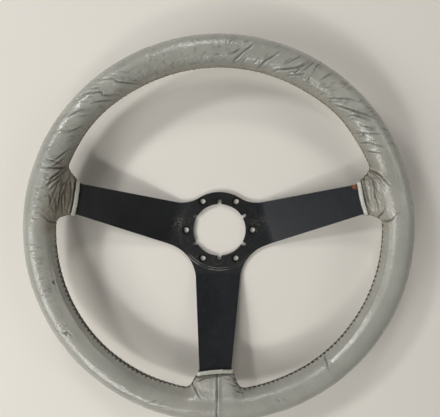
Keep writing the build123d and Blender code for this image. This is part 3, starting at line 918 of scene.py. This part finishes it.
def floor_material():
    """Plain pale floor, seen from above only, so that the wheel's back can be looked at from below."""
    m = Shading("pale_floor")
    shade = m.mix(m.noise(3, 2), colour(225, 221, 212), colour(219, 214, 205))
    m.finish(Base_Color=shade, Roughness=0.62, Specular_IOR_Level=0.3)
    clear = m.add("ShaderNodeBsdfTransparent")
    choose = m.add("ShaderNodeMixShader")
    m.feed(choose.inputs[0], m.add("ShaderNodeNewGeometry").outputs["Backfacing"])
    m.feed(choose.inputs[1], m.surface.outputs[0])
    m.feed(choose.inputs[2], clear.outputs[0])
    m.feed(m.nodes["Material Output"].inputs["Surface"], choose.outputs[0])
    return m.material


def dress(piece, material):
    """Gives a piece its only material."""
    piece.data.materials.clear()
    piece.data.materials.append(material)


# ---- pieces ----------------------------------------------------------------------------------
def store(piece, **values):
    """Keeps numbers on the points of a mesh for its material."""
    for name, numbers in values.items():
        attribute = piece.data.attributes.new(name, "FLOAT", "POINT")
        attribute.data.foreach_set("value", numbers.astype(np.float32))


def make_leather():
    """The leather as a closed shell: its wrinkled face, and the smooth back that lies on the foam."""
    outer, outer_faces = even_mesh(LEATHER_VOXEL, 0.0)
    relief = Relief(outer)
    wrinkle(relief)
    outer = relief.points + relief.normals * relief.height[:, None]
    inner, inner_faces = even_mesh(LINING_VOXEL, LEATHER_THICKNESS + 0.9 * MM)
    faces = outer_faces + [tuple(i + len(outer) for i in reversed(face)) for face in inner_faces]
    piece = new_object("leather_cover_skin", np.vstack([outer, inner]), faces)
    blank = np.zeros(len(inner))
    store(
        piece,
        dirt=np.concatenate([relief.dirt, blank]),
        soil=np.concatenate([soil_and_inner_shade(relief), blank]),
    )
    print("leather", len(outer), "points,", len(faces), "faces")
    return piece


def make_foam():
    """The foam under the leather, a little softer in shape than the CAD solid."""
    points, faces = even_mesh(LINING_VOXEL, LEATHER_THICKNESS + 1.3 * MM)
    return new_object("rim_foam_padding", points, faces)


def make_hem(spoke):
    """The strip of leather turned under around a spoke, at the end of its root."""
    around, across = 220, 14
    vertices = []
    for turn in np.linspace(0, 2 * np.pi, around, endpoint=False):
        side, up = math.cos(turn), math.sin(turn)
        wide = spoke.plate + 0.5 * MM
        deep = PLATE_HALF_THICKNESS + 1.35 * MM
        flat_side = math.copysign(abs(side) ** 0.35, side)
        flat_up = math.copysign(abs(up) ** 0.55, up)
        frayed = spoke.name == "lower" and side > 0.1 and up > 0
        here = Vector((side * 30, up * 9, spoke.angle))
        wobble = noise.noise(here * 0.5) * 0.35 + noise.noise(here * 2.1) * (0.45 if frayed else 0.10)
        arch = (1.4 if spoke.name == "lower" else 1.2) * (1 - flat_side**2) * (1 if up > 0 else 0.4)
        for turn_in in np.linspace(0, 2 * np.pi, across, endpoint=False):
            c, s = math.cos(turn_in), math.sin(turn_in)
            along = 1.8 * math.copysign(abs(c) ** 0.6, c) + wobble + (0.5 if frayed else 0.0) * max(-c, 0)
            lift = 0.8 * math.copysign(abs(s) ** 0.6, s) + 0.2 * wobble
            distance = spoke.hem + (along - arch) * MM + spoke.tilt * flat_side * wide
            margin = 1.15 * MM + (lift + 0.7 * (along + 1.75) / 3.5) * MM
            vertices.append(
                spoke.place(
                    distance,
                    flat_side * (wide + margin),
                    spoke.height(distance) + flat_up * (deep + margin - 0.9 * MM),
                )
            )
    piece = new_object(f"collar_hem_{spoke.name}_folded", vertices, tube_faces(around, across, closed=True))
    points = np.array(vertices)
    soil = 0.25 + 0.25 * soft_noise(points, 5 * MM, 8)
    store(piece, dirt=np.clip(soft_noise(points, 3 * MM, 9) - 0.35, 0, 1), soil=np.clip(soil, 0, 1))
    return piece


def stitched(name, line, pitch, reach, radius):
    """Thread that runs from side to side over a seam, in at one stitch hole and out at the next."""
    holes = evenly(line, pitch)
    normals = rim_normals(holes)
    forwards = unit(np.gradient(holes, axis=0))
    left = np.cross(normals, forwards)
    spots = []
    for i in range(len(holes) - 1):
        side = reach if i % 2 else -reach
        start = holes[i] + left[i] * side
        end = holes[i + 1] - left[i + 1] * side
        up = normals[i]
        spots += [
            start - up * 1.1 * MM,
            start + up * 0.05 * MM,
            start * 0.7 + end * 0.3 - up * 0.1 * MM,
            start * 0.3 + end * 0.7 - up * 0.1 * MM,
            end + up * 0.05 * MM,
        ]
    return thread_mesh(name, np.array(spots), radius)


def thread_mesh(name, spots, radius, sides=7):
    """A thin round tube along a smooth path."""
    path = smooth_path(spots, 2)
    forwards = unit(np.gradient(path, axis=0))
    across = unit(np.cross(forwards, np.array([0.31, 0.17, 0.93])))
    beyond = np.cross(forwards, across)
    turns = np.linspace(0, 2 * np.pi, sides, endpoint=False)
    ring = across[:, None] * np.cos(turns)[None, :, None] + beyond[:, None] * np.sin(turns)[None, :, None]
    vertices = (path[:, None] + radius * ring).reshape(-1, 3)
    return new_object(name, vertices, tube_faces(len(path), sides, closed=False))


def split_seam(line, first, second):
    """A seam's stretches beside its two roots, and the stretch between them."""
    from_first = np.abs(angle_between(np.degrees(np.arctan2(line[:, 1], line[:, 0])), first.angle))
    from_second = np.abs(angle_between(np.degrees(np.arctan2(line[:, 1], line[:, 0])), second.angle))
    start = int(np.argmax(from_first > 10.2))
    end = int(np.argmax(from_second < 10.2))
    return line[: start + 1], line[start : end + 1], line[end:]


def make_threads(material):
    """The stitching: along the inside of the rim, beside each root, and over the bottom seam."""
    beside = {name: [] for name in SPOKES}
    ends = {"upper": ("right", "left"), "lower_left": ("left", "lower"), "lower_right": ("lower", "right")}
    made = []
    for span, (first, second) in ends.items():
        near, middle, far = split_seam(SEAMS[span], SPOKES[first], SPOKES[second])
        beside[first].append(near)
        beside[second].append(far)
        thread = stitched(f"inner_seam_stitches_{span}", middle, STITCH_PITCH / 2, 1.7 * MM, THREAD_RADIUS)
        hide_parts(f"inner_seam_thread_{span}")
        made.append(thread)
    for name, lines in beside.items():
        for place, line in zip(("anticlockwise", "clockwise"), lines):
            thread = stitched(f"collar_stitches_{name}_{place}", line, 2.2 * MM, 1.2 * MM, THREAD_RADIUS)
            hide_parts(f"collar_thread_{name}")
            made.append(thread)
    section = np.arange(-80, 186, 6.0)
    line = onto_rim(on_grip(np.full(len(section), BUTT_SEAM_ANGLE), section))
    sunk = line - rim_normals(line) * 0.55 * MM
    thread = stitched("bottom_seam_stitches", sunk, 2.4 * MM, 0.5 * MM, FINE_THREAD_RADIUS)
    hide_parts("bottom_seam_thread")
    made.append(thread)
    for thread in made:
        dress(thread, material)
        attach(thread, "root")


# ---- scene -----------------------------------------------------------------------------------
def make_camera():
    """A phone's main camera held over the wheel, a little above its centre and tipped down."""
    turn = Vector((-5.7, -0.8, 0.1))
    data = bpy.data.cameras.new("camera")
    data.sensor_width = 36.0
    data.lens = 36.08
    camera = bpy.data.objects.new("camera", data)
    camera.location = (-0.006, 0.069, 0.464)
    camera.rotation_mode = "QUATERNION"
    camera.rotation_quaternion = Quaternion(turn.normalized(), math.radians(turn.length))
    bpy.context.scene.collection.objects.link(camera)
    bpy.context.scene.camera = camera


def make_light(name, azimuth, elevation, distance, size, watts, tint):
    """A soft rectangular light aimed at the wheel. Azimuth 0 is at three o'clock, 90 at twelve."""
    data = bpy.data.lights.new(name, "AREA")
    data.shape = "RECTANGLE"
    data.size, data.size_y = size
    data.energy = watts
    data.color = tint
    light = bpy.data.objects.new(name, data)
    turn, rise = math.radians(azimuth), math.radians(elevation)
    away = Vector((math.cos(turn) * math.cos(rise), math.sin(turn) * math.cos(rise), math.sin(rise)))
    light.location = away * distance
    light.rotation_euler = away.to_track_quat("Z", "Y").to_euler()
    bpy.context.scene.collection.objects.link(light)


def light_room():
    """The dim light of a room: brighter low down, and dark overhead where the camera is held."""
    world = bpy.data.worlds.new("room")
    world.use_nodes = True
    nodes, links = world.node_tree.nodes, world.node_tree.links
    place = nodes.new("ShaderNodeTexCoord")
    split = nodes.new("ShaderNodeSeparateXYZ")
    ramp = nodes.new("ShaderNodeMapRange")
    links.new(place.outputs["Generated"], split.inputs[0])
    links.new(split.outputs["Z"], ramp.inputs["Value"])
    for name, value in {"From Min": 0.25, "From Max": 0.95, "To Min": 0.24, "To Max": 0.08}.items():
        ramp.inputs[name].default_value = value
    links.new(ramp.outputs[0], nodes["Background"].inputs["Strength"])
    nodes["Background"].inputs["Color"].default_value = (0.97, 0.98, 1.0, 1)
    bpy.context.scene.world = world


def make_surroundings():
    """Floor, lights and the light of the room."""
    size = 1.6
    corners = [(-size, -size, -0.0003), (size, -size, -0.0003), (size, size, -0.0003), (-size, size, -0.0003)]
    floor = new_object("floor", corners, [(0, 1, 2, 3)], smooth=False)
    dress(floor, floor_material())
    make_light("window", 207, 42, 2.2, (1.2, 0.8), 18.5, (1.0, 0.99, 0.97))
    make_light("far_window", 146, 42, 2.0, (0.42, 0.2), 11.5, (0.99, 0.99, 1.0))
    make_light("upper_window", 98, 40, 2.0, (0.4, 0.3), 7, (1.0, 0.99, 0.97))
    make_light("near_side", -116, 48, 1.4, (0.34, 0.16), 4.2, (1.0, 0.985, 0.96))
    make_light("right_side", 15, 44, 1.8, (0.9, 0.6), 3.4, (1.0, 0.97, 0.93))
    light_room()
    bpy.context.scene.view_settings.view_transform = "Standard"


def main():
    make_camera()
    make_surroundings()
    paint = paint_material()
    steel = metal_material("hoop_aluminium", (0.60, 0.61, 0.62, 1), (0.42, 0.42, 0.41, 1))
    rivet = metal_material("rivet_steel", (0.50, 0.50, 0.49, 1), (0.30, 0.27, 0.24, 1))
    leather = leather_material(
        "rim_leather", colour(150, 149, 139), colour(164, 163, 153), colour(118, 103, 78)
    )
    hem_leather = leather_material(
        "hem_leather", colour(176, 177, 166), colour(194, 195, 184), colour(140, 130, 108)
    )
    thread = thread_material("waxed_thread")
    foam = foam_material()

    nodes = frame["nodes"]
    dress(nodes["spoke_plate"], paint)
    dress(nodes["rim_hoop"], steel)
    for name in SPOKES:
        dress(nodes[f"spoke_rivets_{name}"], rivet)

    cover = make_leather()
    dress(cover, leather)
    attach(cover, "root")
    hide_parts("leather_cover")
    padding = make_foam()
    dress(padding, foam)
    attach(padding, "root")
    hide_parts("rim_foam_core")

    for spoke in SPOKES.values():
        hem = make_hem(spoke)
        dress(hem, hem_leather)
        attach(hem, "root")
        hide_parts(f"collar_hem_{spoke.name}")
    make_threads(thread)


main()
